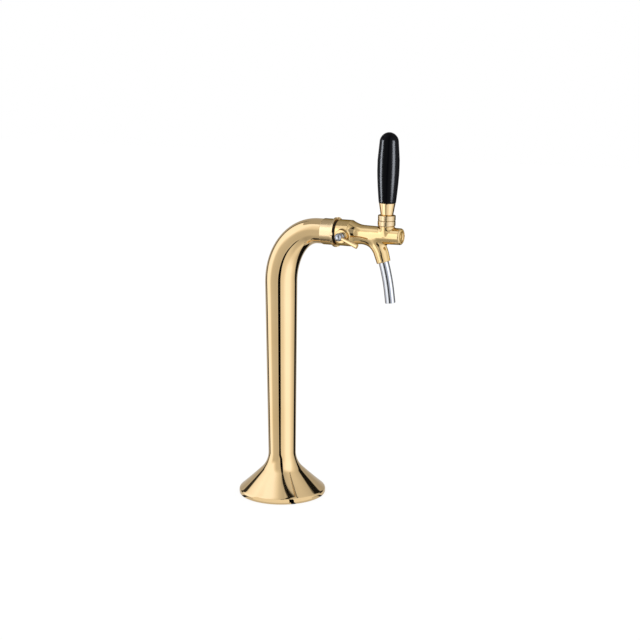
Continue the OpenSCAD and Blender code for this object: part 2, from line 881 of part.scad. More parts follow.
tower_foot();
tower_column();
tower_gooseneck();
foot_gasket();
beer_line();
neck_bush();
lock_ring();
shank_washer();
tap_shank();
inlet_washer();
tap_body();
flow_cone();
flow_spindle();
spindle_seal();
gland_nut();
flow_lever();
valve_plunger();
valve_seal();
seal_nut();
plunger_ring();
ball_seat();
friction_ring();
bonnet_nut();
handle_lever();
handle_collar();
handle_ferrule();
handle_insert();
handle_grip();
front_plug();
plug_washer();
spout_tube();
spout_ring();
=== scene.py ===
import json
import math
import bmesh
import bpy
import numpy as np
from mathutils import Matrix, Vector


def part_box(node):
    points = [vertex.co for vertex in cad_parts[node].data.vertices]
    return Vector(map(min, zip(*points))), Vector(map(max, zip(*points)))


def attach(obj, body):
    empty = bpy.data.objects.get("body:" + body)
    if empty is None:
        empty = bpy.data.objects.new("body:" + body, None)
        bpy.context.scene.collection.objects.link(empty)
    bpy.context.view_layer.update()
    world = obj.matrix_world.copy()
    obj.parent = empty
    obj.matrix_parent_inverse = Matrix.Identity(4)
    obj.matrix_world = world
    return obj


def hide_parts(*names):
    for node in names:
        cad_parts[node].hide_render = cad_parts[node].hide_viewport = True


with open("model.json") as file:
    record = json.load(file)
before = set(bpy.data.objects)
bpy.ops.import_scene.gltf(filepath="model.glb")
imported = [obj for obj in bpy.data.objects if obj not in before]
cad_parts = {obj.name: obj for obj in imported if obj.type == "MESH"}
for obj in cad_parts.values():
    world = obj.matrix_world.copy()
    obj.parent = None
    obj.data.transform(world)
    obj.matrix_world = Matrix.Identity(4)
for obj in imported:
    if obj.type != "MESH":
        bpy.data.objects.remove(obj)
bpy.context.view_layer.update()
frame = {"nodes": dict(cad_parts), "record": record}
mm = 0.001
scene = bpy.context.scene
print("frame loaded with", len(frame["nodes"]), "nodes")


def boxOf(node):
    low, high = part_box(node)
    return low / mm, high / mm


# node tree helpers
def addNode(tree, kind, settings=None, inputs=None):
    node = tree.nodes.new(kind)
    for name, value in (settings or {}).items():
        setattr(node, name, value)
    for key, value in (inputs or {}).items():
        if isinstance(value, bpy.types.NodeSocket):
            tree.links.new(value, node.inputs[key])
        else:
            node.inputs[key].default_value = value
    return node


def calc(tree, operation, *values):
    return addNode(tree, "ShaderNodeMath", {"operation": operation}, dict(enumerate(values))).outputs[0]


def vectorCalc(tree, operation, *values):
    node = addNode(tree, "ShaderNodeVectorMath", {"operation": operation}, dict(enumerate(values)))
    return node.outputs["Value" if operation == "DOT_PRODUCT" else "Vector"]


def scaled(tree, vector, factor):
    node = addNode(tree, "ShaderNodeVectorMath", {"operation": "SCALE"}, {"Vector": vector, "Scale": factor})
    return node.outputs[0]


def whole(tree, operation, *values):
    node = addNode(tree, "FunctionNodeIntegerMath", {"operation": operation}, dict(enumerate(values)))
    return node.outputs[0]


def spread(tree, value, fromLow, fromHigh, toLow, toHigh, kind="LINEAR"):
    node = addNode(tree, "ShaderNodeMapRange", {"interpolation_type": kind}, {
        "Value": value, "From Min": fromLow, "From Max": fromHigh, "To Min": toLow, "To Max": toHigh})
    return node.outputs[0]


def sockets(tree, side, given):
    for name, kind in given.items():
        tree.interface.new_socket(name=name, in_out=side, socket_type="NodeSocket" + kind)


# one tree skins a row of stations, each a centre, two axes and a radius, with a closed tube
def makeStationSkin():
    tree = bpy.data.node_groups.new("stationSkin", "GeometryNodeTree")
    sockets(tree, "INPUT", {"Stations": "Geometry", "Sides": "Int", "Seam": "Float", "Material": "Material"})
    sockets(tree, "OUTPUT", {"Skin": "Geometry"})
    given = tree.nodes.new("NodeGroupInput").outputs
    rows = addNode(tree, "GeometryNodeAttributeDomainSize", {"component": "MESH"},
                   {"Geometry": given["Stations"]}).outputs["Point Count"]
    columns = whole(tree, "ADD", given["Sides"], 1)
    grid = addNode(tree, "GeometryNodeMeshGrid", {}, {"Vertices X": rows, "Vertices Y": columns})
    index = tree.nodes.new("GeometryNodeInputIndex").outputs[0]
    row = whole(tree, "DIVIDE_FLOOR", index, columns)
    turn = calc(tree, "DIVIDE", whole(tree, "MODULO", index, columns), given["Sides"])
    angle = calc(tree, "MULTIPLY", turn, math.tau)

    def atRow(kind, value):
        return addNode(tree, "GeometryNodeSampleIndex", {"data_type": kind, "domain": "POINT"},
                       {"Geometry": given["Stations"], "Value": value, "Index": row}).outputs["Value"]

    def storedAtRow(kind, name):
        stored = addNode(tree, "GeometryNodeInputNamedAttribute", {"data_type": kind}, {"Name": name})
        return atRow(kind, stored.outputs["Attribute"])

    centre = atRow("FLOAT_VECTOR", tree.nodes.new("GeometryNodeInputPosition").outputs[0])
    uPart = scaled(tree, storedAtRow("FLOAT_VECTOR", "uAxis"), calc(tree, "COSINE", angle))
    wPart = scaled(tree, storedAtRow("FLOAT_VECTOR", "wAxis"), calc(tree, "SINE", angle))
    spoke = scaled(tree, vectorCalc(tree, "ADD", uPart, wPart), storedAtRow("FLOAT", "radius"))
    placed = addNode(tree, "GeometryNodeSetPosition", {}, {
        "Geometry": grid.outputs["Mesh"], "Position": vectorCalc(tree, "ADD", centre, spoke)})
    closed = addNode(tree, "GeometryNodeMergeByDistance", {}, {
        "Geometry": placed.outputs[0], "Distance": given["Seam"]})
    smooth = addNode(tree, "GeometryNodeSetShadeSmooth", {}, {0: closed.outputs[0]})
    real = addNode(tree, "GeometryNodeRealizeInstances", {}, {"Geometry": smooth.outputs[0]})
    painted = addNode(tree, "GeometryNodeSetMaterial", {}, {
        "Geometry": real.outputs[0], "Material": given["Material"]})
    tree.links.new(painted.outputs[0], tree.nodes.new("NodeGroupOutput").inputs[0])
    return tree


stationSkin = makeStationSkin()
skinSocket = {item.name: item.identifier
              for item in stationSkin.interface.items_tree if item.in_out == "INPUT"}


def addObject(name, data):
    obj = bpy.data.objects.new(name, data)
    scene.collection.objects.link(obj)
    return obj


def settle(obj):
    graph = bpy.context.evaluated_depsgraph_get()
    final = obj.evaluated_get(graph)
    made = bpy.data.meshes.new_from_object(final, preserve_all_data_layers=True, depsgraph=graph)
    obj.modifiers.clear()
    obj.data = made
    made.name = obj.name
    return obj


def skin(name, stations, material, sides=96, sharp=50, seam=0.002):
    mesh = bpy.data.meshes.new(name + "Stations")
    links = [(i, i + 1) for i in range(len(stations) - 1)]
    mesh.from_pydata([Vector(s[0]) * mm for s in stations], links, [])
    for key, column in (("uAxis", 1), ("wAxis", 2)):
        values = np.array([tuple(s[column]) for s in stations], dtype=np.float32).ravel()
        mesh.attributes.new(key, "FLOAT_VECTOR", "POINT").data.foreach_set("vector", values)
    mesh.attributes.new("radius", "FLOAT", "POINT").data.foreach_set("value", [s[3] * mm for s in stations])
    obj = addObject(name, mesh)
    modifier = obj.modifiers.new("skin", "NODES")
    modifier.node_group = stationSkin
    modifier[skinSocket["Sides"]] = sides
    modifier[skinSocket["Seam"]] = seam * mm
    modifier[skinSocket["Material"]] = material
    settle(obj)
    obj.data.set_sharp_from_angle(angle=math.radians(sharp))
    return obj


# corners with a third number are rounded to that radius, with a close row on each side for clean shading
rounding = {"steps": 5, "share": 0.45, "close": 0.08}


def rounded(outline):
    points = [Vector(p[:2]) for p in outline]
    made = []
    for i, corner in enumerate(outline):
        here = points[i]
        if len(corner) < 3 or i in (0, len(outline) - 1):
            made.append(here)
            continue
        back, ahead = points[i - 1] - here, points[i + 1] - here
        half = back.angle(ahead) / 2
        reach = min(corner[2] / math.tan(half), rounding["share"] * min(back.length, ahead.length))
        start, end = here + back.normalized() * reach, here + ahead.normalized() * reach
        made.append(start + back.normalized() * reach * rounding["close"])
        for k in range(rounding["steps"] + 1):
            s = k / rounding["steps"]
            made.append(start * (1 - s) ** 2 + here * 2 * s * (1 - s) + end * s ** 2)
        made.append(end + ahead.normalized() * reach * rounding["close"])
    return made


def turnedRows(origin, axis, outline):
    axis = Vector(axis).normalized()
    u = axis.orthogonal().normalized()
    w = u.cross(axis)
    return [(Vector(origin) + axis * p[1], u, w, p[0]) for p in rounded(outline)]


def turned(name, origin, axis, outline, material, sides=96):
    return skin(name, turnedRows(origin, axis, outline), material, sides)


def arc(centre, radius, fromDeg, toDeg, count):
    made = []
    for i in range(count + 1):
        a = math.radians(fromDeg + (toDeg - fromDeg) * i / count)
        made.append((centre[0] + radius * math.cos(a), centre[1] + radius * math.sin(a)))
    return made


def joined(obj, *others):
    mesh = bmesh.new()
    for part in (obj,) + others:
        mesh.from_mesh(part.data)
    mesh.to_mesh(obj.data)
    mesh.free()
    for part in others:
        bpy.data.objects.remove(part)
    return obj


def fits(obj, body, slotName, *nodeNames):
    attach(obj, body)
    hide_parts(*nodeNames)
    return obj


# one shader group gives every material its soft patches, hairlines and ripples
polishLook = {"Cloud": {"detail": 3.0, "span": (0.3, 0.7)},
              "Hairline": {"detail": 2.0, "span": (0.25, 0.75), "scale": 900.0},
              "Ripple": {"detail": 1.0, "scale": 70.0}}


def makePolish():
    tree = bpy.data.node_groups.new("polish", "ShaderNodeTree")
    sockets(tree, "INPUT", {"Scale": "Float", "Stretch": "Vector"})
    sockets(tree, "OUTPUT", {"Cloud": "Float", "Hairline": "Float", "Ripple": "Float"})
    given = tree.nodes.new("NodeGroupInput").outputs
    place = tree.nodes.new("ShaderNodeTexCoord").outputs["Object"]
    drawn = vectorCalc(tree, "MULTIPLY", place, given["Stretch"])
    out = tree.nodes.new("NodeGroupOutput").inputs
    for name, vector in (("Cloud", place), ("Hairline", drawn), ("Ripple", place)):
        look = polishLook[name]
        noise = addNode(tree, "ShaderNodeTexNoise", {}, {
            "Vector": vector, "Scale": look.get("scale", given["Scale"]), "Detail": look["detail"]})
        tree.links.new(noise.outputs[0], out[name])
    return tree


polish = makePolish()


def newMaterial(name):
    material = bpy.data.materials.new(name)
    material.use_nodes = True
    return material, material.node_tree.nodes["Principled BSDF"].inputs


# patch is the scale of the noise between deep and pale; relief names the mark that is raised by depth
def marked(name, look, relief, depth):
    material, shader = newMaterial(name)
    tree = material.node_tree
    marks = addNode(tree, "ShaderNodeGroup", {"node_tree": polish},
                    {"Scale": look["patch"], "Stretch": look.get("stretch", (1, 1, 1))}).outputs
    share = spread(tree, marks["Cloud"], *polishLook["Cloud"]["span"], 0, 1)
    tint = addNode(tree, "ShaderNodeMix", {"data_type": "RGBA"},
                   {"Factor": share, 6: look["deep"], 7: look["pale"]})
    tree.links.new(tint.outputs[2], shader["Base Color"])
    rough = spread(tree, marks["Hairline"], *polishLook["Hairline"]["span"], *look["rough"])
    tree.links.new(rough, shader["Roughness"])
    bump = addNode(tree, "ShaderNodeBump", {}, {
        "Strength": look["ripple"], "Distance": depth * mm, "Height": marks[relief]})
    tree.links.new(bump.outputs[0], shader["Normal"])
    return material, shader


# edge is the metal's tint at grazing angles
def metal(name, look):
    material, shader = marked(name, look, relief="Ripple", depth=0.2)
    shader["Metallic"].default_value = 1
    shader["Specular Tint"].default_value = look.get("edge", (1, 1, 1, 1))
    return material


def mould(name, look):
    material, shader = marked(name, look, relief="Hairline", depth=0.3)
    shader["Specular IOR Level"].default_value = look["specular"]
    return material


goldCast = metal("goldCast", {
    "deep": (0.93, 0.66, 0.33, 1), "pale": (0.97, 0.71, 0.38, 1), "rough": (0.035, 0.065), "ripple": 0.01,
    "patch": 14.0, "stretch": (1, 1, 0.2)})
goldTurned = metal("goldTurned", {
    "deep": (0.93, 0.66, 0.33, 1), "pale": (0.97, 0.71, 0.38, 1), "rough": (0.04, 0.08), "ripple": 0.01,
    "patch": 22.0, "edge": (0.35, 0.24, 0.08, 1)})
# painted shade: the tap's gold is a darker copy of the cast gold, standing in for the dimmer light that
# falls on the tap; the lamps linked to its pieces give its highlights
goldTapShaded = metal("goldTapShaded", {
    "deep": (0.79, 0.555, 0.245, 1), "pale": (0.84, 0.605, 0.295, 1), "rough": (0.09, 0.13), "ripple": 0.01,
    "patch": 22.0, "edge": (0.12, 0.08, 0.02, 1)})
goldSatin = metal("goldSatin", {
    "deep": (0.82, 0.61, 0.33, 1), "pale": (0.88, 0.67, 0.39, 1), "rough": (0.18, 0.26), "ripple": 0.01,
    "patch": 22.0, "edge": (0.12, 0.08, 0.02, 1)})
steel = metal("steel", {
    "deep": (0.36, 0.37, 0.39, 1), "pale": (0.44, 0.45, 0.47, 1), "rough": (0.07, 0.12), "ripple": 0.01,
    "patch": 30.0, "stretch": (1, 1, 0.06)})
rubber = mould("rubber", {
    "deep": (0.010, 0.010, 0.010, 1), "pale": (0.022, 0.021, 0.020, 1), "rough": (0.55, 0.75),
    "ripple": 0.3, "patch": 60.0, "specular": 0.3})
gripBlack = mould("gripBlack", {
    "deep": (0.0003, 0.0003, 0.0004, 1), "pale": (0.0005, 0.0005, 0.0007, 1), "rough": (0.20, 0.23),
    "ripple": 0.0, "patch": 30.0, "specular": 0.06})
nylon = mould("nylon", {
    "deep": (0.70, 0.69, 0.63, 1), "pale": (0.80, 0.79, 0.74, 1), "rough": (0.35, 0.5),
    "ripple": 0.05, "patch": 50.0, "specular": 0.4})
print("materials made")

# the tower: foot, column and gooseneck in one polished skin, hollow from below
tower = {"lip": 3.8, "lipRound": 4.2, "lipUnder": 1.5, "slope": 42.5, "dish": 2.0, "flare": 30.0,
         "wall": 3.5, "rim": 7.5, "rimEdge": 0.6, "gasketWidth": 3.0, "gasketDeep": 2.0, "gasketEdge": 0.15,
         "waist": 17.4, "shoulder": 20.1, "bendRise": 68.0, "bendOut": 52.0, "thinning": 1.3,
         "mouth": 15.4, "mouthFrom": 0.5, "mouthEdge": 0.4, "sides": 160}
towerSteps = {"lip": 8, "dish": 14, "flare": 36, "column": 24, "bend": 60, "innerBend": 30, "innerFlare": 14}
footHigh = boxOf("tower_foot")[1]
neckHigh = boxOf("tower_gooseneck")[1]
gasketHigh = boxOf("foot_gasket")[1]
sleeveLow, sleeveHigh = boxOf("neck_bush")
tapZ = (sleeveLow.z + sleeveHigh.z) / 2
columnTop = tapZ - tower["bendRise"]
footRadius = footHigh.x
lipAngle, flareAngle = 90 - tower["slope"] + tower["dish"], 90 - tower["slope"] - tower["dish"]
lipCentre = (footRadius - tower["lipRound"], tower["lip"])
lipArc = arc(lipCentre, tower["lipRound"], 0, lipAngle, towerSteps["lip"])
flareX = tower["waist"] + tower["flare"]
slopeRun = lipArc[-1][0] - flareX + tower["flare"] * math.cos(math.radians(flareAngle))
slopeRise = slopeRun * math.tan(math.radians(tower["slope"]))
flareZ = lipArc[-1][1] + slopeRise + tower["flare"] * math.sin(math.radians(flareAngle))
dishRadius = math.hypot(slopeRun, slopeRise) / 2 / math.sin(math.radians(tower["dish"]))
dishCentre = (lipArc[-1][0] + dishRadius * math.cos(math.radians(lipAngle)),
              lipArc[-1][1] + dishRadius * math.sin(math.radians(lipAngle)))


def upright(r, z):
    return Vector((0, 0, z)), Vector((1, 0, 0)), Vector((0, -1, 0)), r


def columnLine():
    made = []
    for i in range(towerSteps["column"] + 1):
        s = i / towerSteps["column"]
        made.append((tower["waist"] + (tower["shoulder"] - tower["waist"]) * s,
                     flareZ + (columnTop - flareZ) * s))
    return made


def neckRow(t, inset):
    a = math.radians(t)
    out, rise = tower["bendOut"], tower["bendRise"]
    lean = math.atan2(out * math.sin(a), rise * math.cos(a))
    s = (t / 90) ** tower["thinning"]
    r = tower["shoulder"] + (tower["mouth"] - tower["shoulder"]) * s * s * (3 - 2 * s)
    centre = Vector((out * (1 - math.cos(a)), 0, columnTop + rise * math.sin(a)))
    return centre, Vector((math.cos(lean), 0, -math.sin(lean))), Vector((0, -1, 0)), r - inset


def mouthRow(x, r):
    return Vector((x, 0, tapZ)), Vector((0, 0, -1)), Vector((0, -1, 0)), r


# down the inside from the mouth, round the rim and up the outside to the mouth again
def towerRows():
    wall, mouth, end = tower["wall"], tower["mouth"], neckHigh.x
    steps = towerSteps["innerBend"]
    inner = [neckRow(90 * i / steps, wall) for i in range(steps, -1, -1)]
    inner += [upright(r - wall, z) for r, z in columnLine()[::-1][1:]]
    inside = arc((flareX, flareZ), tower["flare"] + wall, 180, 180 + flareAngle, towerSteps["innerFlare"])
    inner += [upright(r, z) for r, z in inside]
    rim = footRadius - tower["rim"]
    rimTop = inside[-1][1] - (rim - inside[-1][0]) * math.tan(math.radians(tower["slope"]))
    deep, edge = tower["gasketDeep"], tower["gasketEdge"]
    gasketIn, gasketOut = gasketHigh.x - tower["gasketWidth"], gasketHigh.x
    lipIn = footRadius - tower["lipUnder"]
    under = rounded([(rim, rimTop), (rim, 0, tower["rimEdge"]), (gasketIn, 0, edge), (gasketIn, deep),
                     (gasketOut, deep), (gasketOut, 0, edge), (lipIn, 0)])
    lower = arc((lipIn, tower["lipUnder"]), tower["lipUnder"], -90, 0, towerSteps["lip"])
    dish = arc(dishCentre, dishRadius, 180 + lipAngle, 180 + flareAngle, towerSteps["dish"])
    flare = arc((flareX, flareZ), tower["flare"], 180 + flareAngle, 180, towerSteps["flare"])
    outline = [tuple(p) for p in under] + lower[1:] + lipArc + dish[1:-1] + flare + columnLine()[1:]
    outer = [upright(r, z) for r, z in outline]
    steps = towerSteps["bend"]
    outer += [neckRow(90 * i / steps, 0) for i in range(steps + 1)]
    ending = rounded([(mouth, tower["bendOut"] + tower["mouthFrom"]), (mouth, end, tower["mouthEdge"]),
                      (mouth - wall, end)])
    outer += [mouthRow(x, r) for r, x in ending]
    return inner + outer + [inner[0]]


# each boss follows the slope of the foot's wall at its upper end
studBoss = {"turns": (180, 300, 60), "ring": 36.0, "radius": 7.5, "edge": 0.5, "straight": 12.0,
            "stud": 3.4, "studEdge": 0.4, "studDeep": 14.0, "studTip": 1.5, "sides": 40}


def bossRows(turn):
    a = math.radians(turn)
    spoke, tangent = Vector((math.cos(a), math.sin(a), 0)), Vector((math.sin(a), -math.cos(a), 0))
    slope = math.tan(math.radians(tower["slope"]))
    halfWall = tower["wall"] / 2 / math.cos(math.radians(tower["slope"]))
    wallZ = lipArc[-1][1] + (lipArc[-1][0] - studBoss["ring"]) * slope - halfWall
    middle, radius, stud = spoke * studBoss["ring"], studBoss["radius"], studBoss["stud"]
    outline = rounded([(0, studBoss["studDeep"]), (stud, studBoss["studDeep"] - studBoss["studTip"]),
                       (stud, 0, studBoss["studEdge"]), (radius, 0, studBoss["edge"]),
                       (radius, studBoss["straight"])])
    rows = [(middle + Vector((0, 0, z)), spoke, tangent, r) for r, z in outline]
    rows.append((middle + Vector((0, 0, wallZ)), spoke - Vector((0, 0, slope)), tangent, radius))
    return rows


towerSkin = skin("towerSkin", towerRows(), goldCast, tower["sides"])
bosses = [skin("boss", bossRows(turn), goldCast, studBoss["sides"]) for turn in studBoss["turns"]]
joined(towerSkin, *bosses)
fits(towerSkin, "tower", "gold_casting", "tower_foot", "tower_column", "tower_gooseneck")
print("tower skin", len(towerSkin.data.polygons), "faces")

# the neck bush, with its sleeve outside and its spigot inside the neck
bush = {"bore": 10.5, "inset": 3.6, "gap": 0.05, "spigotEdge": 0.4, "seatEdge": 0.1, "edge": 0.35,
        "sides": 128}
ringLow, ringHigh = boxOf("lock_ring")
sleeveRadius = (sleeveHigh.z - sleeveLow.z) / 2
spigotRadius, seatX = tower["mouth"] - bush["inset"], neckHigh.x + bush["gap"]
sleeve = turned("neckSleeve", (0, 0, tapZ), (1, 0, 0), [
    (bush["bore"], sleeveLow.x), (spigotRadius, sleeveLow.x, bush["spigotEdge"]),
    (spigotRadius, seatX, bush["seatEdge"]), (sleeveRadius, seatX, bush["edge"]),
    (sleeveRadius, ringLow.x, bush["edge"]), (bush["bore"], ringLow.x), (bush["bore"], sleeveLow.x)],
    goldSatin, bush["sides"])
fits(sleeve, "tower", "gold_fitting", "neck_bush")

lockRing = {"notches": 4, "notchWidth": 3.6, "notchDeep": 1.8, "bore": 10.6, "arcSteps": 24,
            "edge": 1.1, "edgeSteps": 3, "edgeFrom": 35}


def ringRim():
    outer = (ringHigh.z - ringLow.z) / 2
    low = outer - lockRing["notchDeep"]
    half, lowHalf = (math.asin(lockRing["notchWidth"] / 2 / r) for r in (outer, low))
    pitch = math.tau / lockRing["notches"]
    rim = []
    for notch in range(lockRing["notches"]):
        middle = notch * pitch
        rim += [(low, middle - lowHalf), (low, middle + lowHalf)]
        for i in range(lockRing["arcSteps"] + 1):
            rim.append((outer, middle + half + (pitch - 2 * half) * i / lockRing["arcSteps"]))
    return rim


def notchedRing():
    rim = ringRim()
    bore = [(lockRing["bore"], a) for r, a in rim]
    mesh = bmesh.new()
    loops = []
    for x in (ringLow.x, ringHigh.x):
        for circle in (rim, bore):
            loops.append([mesh.verts.new(Vector((x, r * math.sin(a), tapZ + r * math.cos(a))) * mm)
                          for r, a in circle])
    count = len(rim)
    for a, b in ((0, 2), (3, 1), (1, 0), (2, 3)):
        for i in range(count):
            k = (i + 1) % count
            mesh.faces.new((loops[a][i], loops[a][k], loops[b][k], loops[b][i]))
    bmesh.ops.recalc_face_normals(mesh, faces=mesh.faces)
    data = bpy.data.meshes.new("lockRing")
    mesh.to_mesh(data)
    mesh.free()
    obj = addObject("lockRing", data)
    data.materials.append(goldSatin)
    bevel = obj.modifiers.new("edge", "BEVEL")
    bevel.width = lockRing["edge"] * mm
    bevel.segments = lockRing["edgeSteps"]
    bevel.limit_method = "ANGLE"
    bevel.angle_limit = math.radians(lockRing["edgeFrom"])
    bevel.harden_normals = True
    for face in data.polygons:
        face.use_smooth = True
    return settle(obj)


notched = fits(notchedRing(), "tower", "gold_fitting", "lock_ring")

# tap body: blended solids as distances in millimetres, meshed on a grid and drawn onto the true surface
# steepness brings the tapered barrel's distance near the true one
body = {"rear": 16.0, "rearLength": 16.5, "taper": 16.0, "taperPower": 1.7, "waist": 11.0, "front": 9.9,
        "edge": 1.2, "frontEdge": 2.2, "steepness": 0.92, "blend": 5.0, "neckGap": 0.1, "neckInset": 0.9,
        "neckEdge": 0.6, "neckBlend": 1.8, "bossDrop": 3.0, "bossEdge": 0.3, "bossBlend": 1.6,
        "recess": 7.1, "recessDeep": 6.0, "cell": 0.55, "margin": 2.0, "sharp": 60}
socketShape = {"back": 23.6, "drop": 32.4, "bend": 29.0, "tube": 9.0, "end": 8.4, "lean": 16.5,
               "length": 10.0, "edge": 0.5}
bodyLow, bodyHigh = boxOf("tap_body")
glandLow, glandHigh = boxOf("gland_nut")
knobLow = boxOf("flow_spindle")[0]
bonnetLow, bonnetHigh = boxOf("bonnet_nut")
handleX = (bonnetLow.x + bonnetHigh.x) / 2
spindleX, spindleZ = (glandLow.x + glandHigh.x) / 2, (glandLow.z + glandHigh.z) / 2
bossRadius = (glandHigh.x - glandLow.x) / 2
bossFace = glandLow.y + body["bossDrop"]
lean = math.radians(socketShape["lean"])


# directions in the tap's middle plane: out from the centre of a bend, and on along the bent tube
def outward(a):
    return np.array((math.cos(a), 0, math.sin(a)))


def onward(a):
    return np.array((math.sin(a), 0, -math.cos(a)))


down = onward(lean)
socketEnd = np.array((bodyHigh.x - socketShape["back"], 0, tapZ - socketShape["drop"]))
socketTop = socketEnd - down * socketShape["length"]
bendMid = socketTop - socketShape["bend"] * outward(lean)


def merged(a, b, k):
    h = np.maximum(k - np.abs(a - b), 0) / k
    return np.minimum(a, b) - h * h * k / 4


def capped(across, along, edge):
    a, b = across + edge, along + edge
    return np.minimum(np.maximum(a, b), 0) + np.sqrt(np.maximum(a, 0) ** 2 + np.maximum(b, 0) ** 2) - edge


def barrelDistance(x, reach):
    rearEnd = bodyLow.x + body["rearLength"]
    waistEnd = rearEnd + body["taper"]
    s = np.clip((x - rearEnd) / body["taper"], 0, 1)
    front = np.clip((x - waistEnd) / (bodyHigh.x - waistEnd), 0, 1)
    swell = (body["rear"] - body["waist"]) * (1 - s) ** body["taperPower"]
    radius = body["waist"] + swell - (body["waist"] - body["front"]) * front
    edge = body["edge"] + (body["frontEdge"] - body["edge"]) * front
    middle, half = (bodyLow.x + bodyHigh.x) / 2, (bodyHigh.x - bodyLow.x) / 2
    return capped((reach - radius) * body["steepness"], np.abs(x - middle) - half, edge)


# the bend, and the straight socket that it ends in
def branchDistance(x, y, z):
    bend, tube, length = socketShape["bend"], socketShape["tube"], socketShape["length"]
    bx, bz = x - bendMid[0], z - bendMid[2]
    a = np.clip(np.arctan2(bz, bx), lean, math.pi / 2)
    bent = np.sqrt((bx - bend * np.cos(a)) ** 2 + (bz - bend * np.sin(a)) ** 2 + y * y) - tube
    sx, sz = x - socketTop[0], z - socketTop[2]
    t = sx * down[0] + sz * down[2]
    side = np.sqrt(np.maximum(sx ** 2 + y * y + sz ** 2 - t * t, 0))
    radius = tube + (socketShape["end"] - tube) * np.clip(t / length, 0, 1)
    return np.minimum(bent, capped(side - radius, np.abs(t - length / 2) - length / 2, socketShape["edge"]))


def bodyDistance(p):
    x, y, z = p[..., 0], p[..., 1], p[..., 2]
    reach = np.sqrt(y * y + (z - tapZ) ** 2)
    neckTop = bonnetLow.z - body["neckGap"]
    neckRadius = (bonnetHigh.x - bonnetLow.x) / 2 - body["neckInset"]
    neck = capped(np.sqrt((x - handleX) ** 2 + y * y) - neckRadius,
                  np.abs(z - (neckTop + tapZ) / 2) - (neckTop - tapZ) / 2, body["neckEdge"])
    boss = capped(np.sqrt((x - spindleX) ** 2 + (z - spindleZ) ** 2) - bossRadius,
                  np.abs(y - bossFace / 2) + bossFace / 2, body["bossEdge"])
    solid = merged(barrelDistance(x, reach), branchDistance(x, y, z), body["blend"])
    solid = merged(solid, neck, body["neckBlend"])
    solid = merged(solid, boss, body["bossBlend"])
    recess = np.maximum(reach - body["recess"], bodyHigh.x - body["recessDeep"] - x)
    return np.maximum(solid, -recess)


drawing = {"rounds": 4, "step": 0.02, "leastSlope": 0.25, "longest": 0.4}


def drawnOn(points):
    step, longest = drawing["step"], drawing["longest"]
    for _ in range(drawing["rounds"]):
        value = bodyDistance(points)
        slope = np.empty_like(points)
        for k in range(3):
            shift = np.zeros(3)
            shift[k] = step
            slope[:, k] = (bodyDistance(points + shift) - bodyDistance(points - shift)) / (2 * step)
        size = np.maximum((slope ** 2).sum(1), drawing["leastSlope"])
        points = points - np.clip(value / size, -longest, longest)[:, None] * slope
    return points


# surface nets: one vertex in each cell that the surface crosses, one face round each crossed edge
def gridMesh(name, low, high, cell, material):
    counts = [int(math.ceil((high[k] - low[k]) / cell)) + 1 for k in range(3)]
    axes = [low[k] + cell * np.arange(counts[k]) for k in range(3)]
    field = bodyDistance(np.stack(np.meshgrid(*axes, indexing="ij"), -1))
    inside = field < 0
    corners = [(i, j, k) for i in (0, 1) for j in (0, 1) for k in (0, 1)]
    cells = tuple(n - 1 for n in counts)

    def corner(array, c):
        return array[c[0]:c[0] + cells[0], c[1]:c[1] + cells[1], c[2]:c[2] + cells[2]]

    total = sum(corner(inside, c).astype(np.int8) for c in corners)
    crossed = (total > 0) & (total < len(corners))
    ids = -np.ones(cells, dtype=np.int64)
    ids[crossed] = np.arange(crossed.sum())
    place = np.argwhere(crossed)
    summed, hits = np.zeros((len(place), 3)), np.zeros(len(place))
    for a in corners:
        for b in corners:
            if sum(b) != sum(a) + 1 or sum(abs(p - q) for p, q in zip(a, b)) != 1:
                continue
            fa, fb = corner(field, a)[crossed], corner(field, b)[crossed]
            cut = (fa < 0) != (fb < 0)
            share = np.where(cut, fa / np.where(cut, fa - fb, 1), 0)
            point = np.array(a) + share[:, None] * (np.array(b) - np.array(a))
            summed += np.where(cut[:, None], point, 0)
            hits += cut
    points = np.array(low) + cell * (place + summed / hits[:, None])
    faces = []
    for k in range(3):
        u, v = (k + 1) % 3, (k + 2) % 3
        ahead, behind = [slice(None)] * 3, [slice(None)] * 3
        ahead[k], behind[k] = slice(1, None), slice(None, -1)
        a, b = inside[tuple(behind)], inside[tuple(ahead)]
        for rising in (True, False):
            edges = np.argwhere((a & ~b) if rising else (~a & b))
            quad = []
            for du, dv in ((-1, -1), (0, -1), (0, 0), (-1, 0)):
                at = edges.copy()
                at[:, u] += du
                at[:, v] += dv
                quad.append(ids[tuple(at.T)])
            faces.append(np.stack(quad if rising else quad[::-1], 1))
    mesh = bpy.data.meshes.new(name)
    mesh.from_pydata((drawnOn(points) * mm).tolist(), [], np.concatenate(faces).tolist())
    mesh.materials.append(material)
    for face in mesh.polygons:
        face.use_smooth = True
    return addObject(name, mesh)


margin = body["margin"]
tapBody = gridMesh("tapBody", (bodyLow.x - margin, bossFace - margin, bodyLow.z - margin),
                   (bodyHigh.x + margin, body["rear"] + margin, bodyHigh.z + margin), body["cell"], goldTapShaded)
tapBody.data.set_sharp_from_angle(angle=math.radians(body["sharp"]))
fits(tapBody, "tower", "gold_fitting", "tap_body")
print("tap body", len(tapBody.data.polygons), "faces")

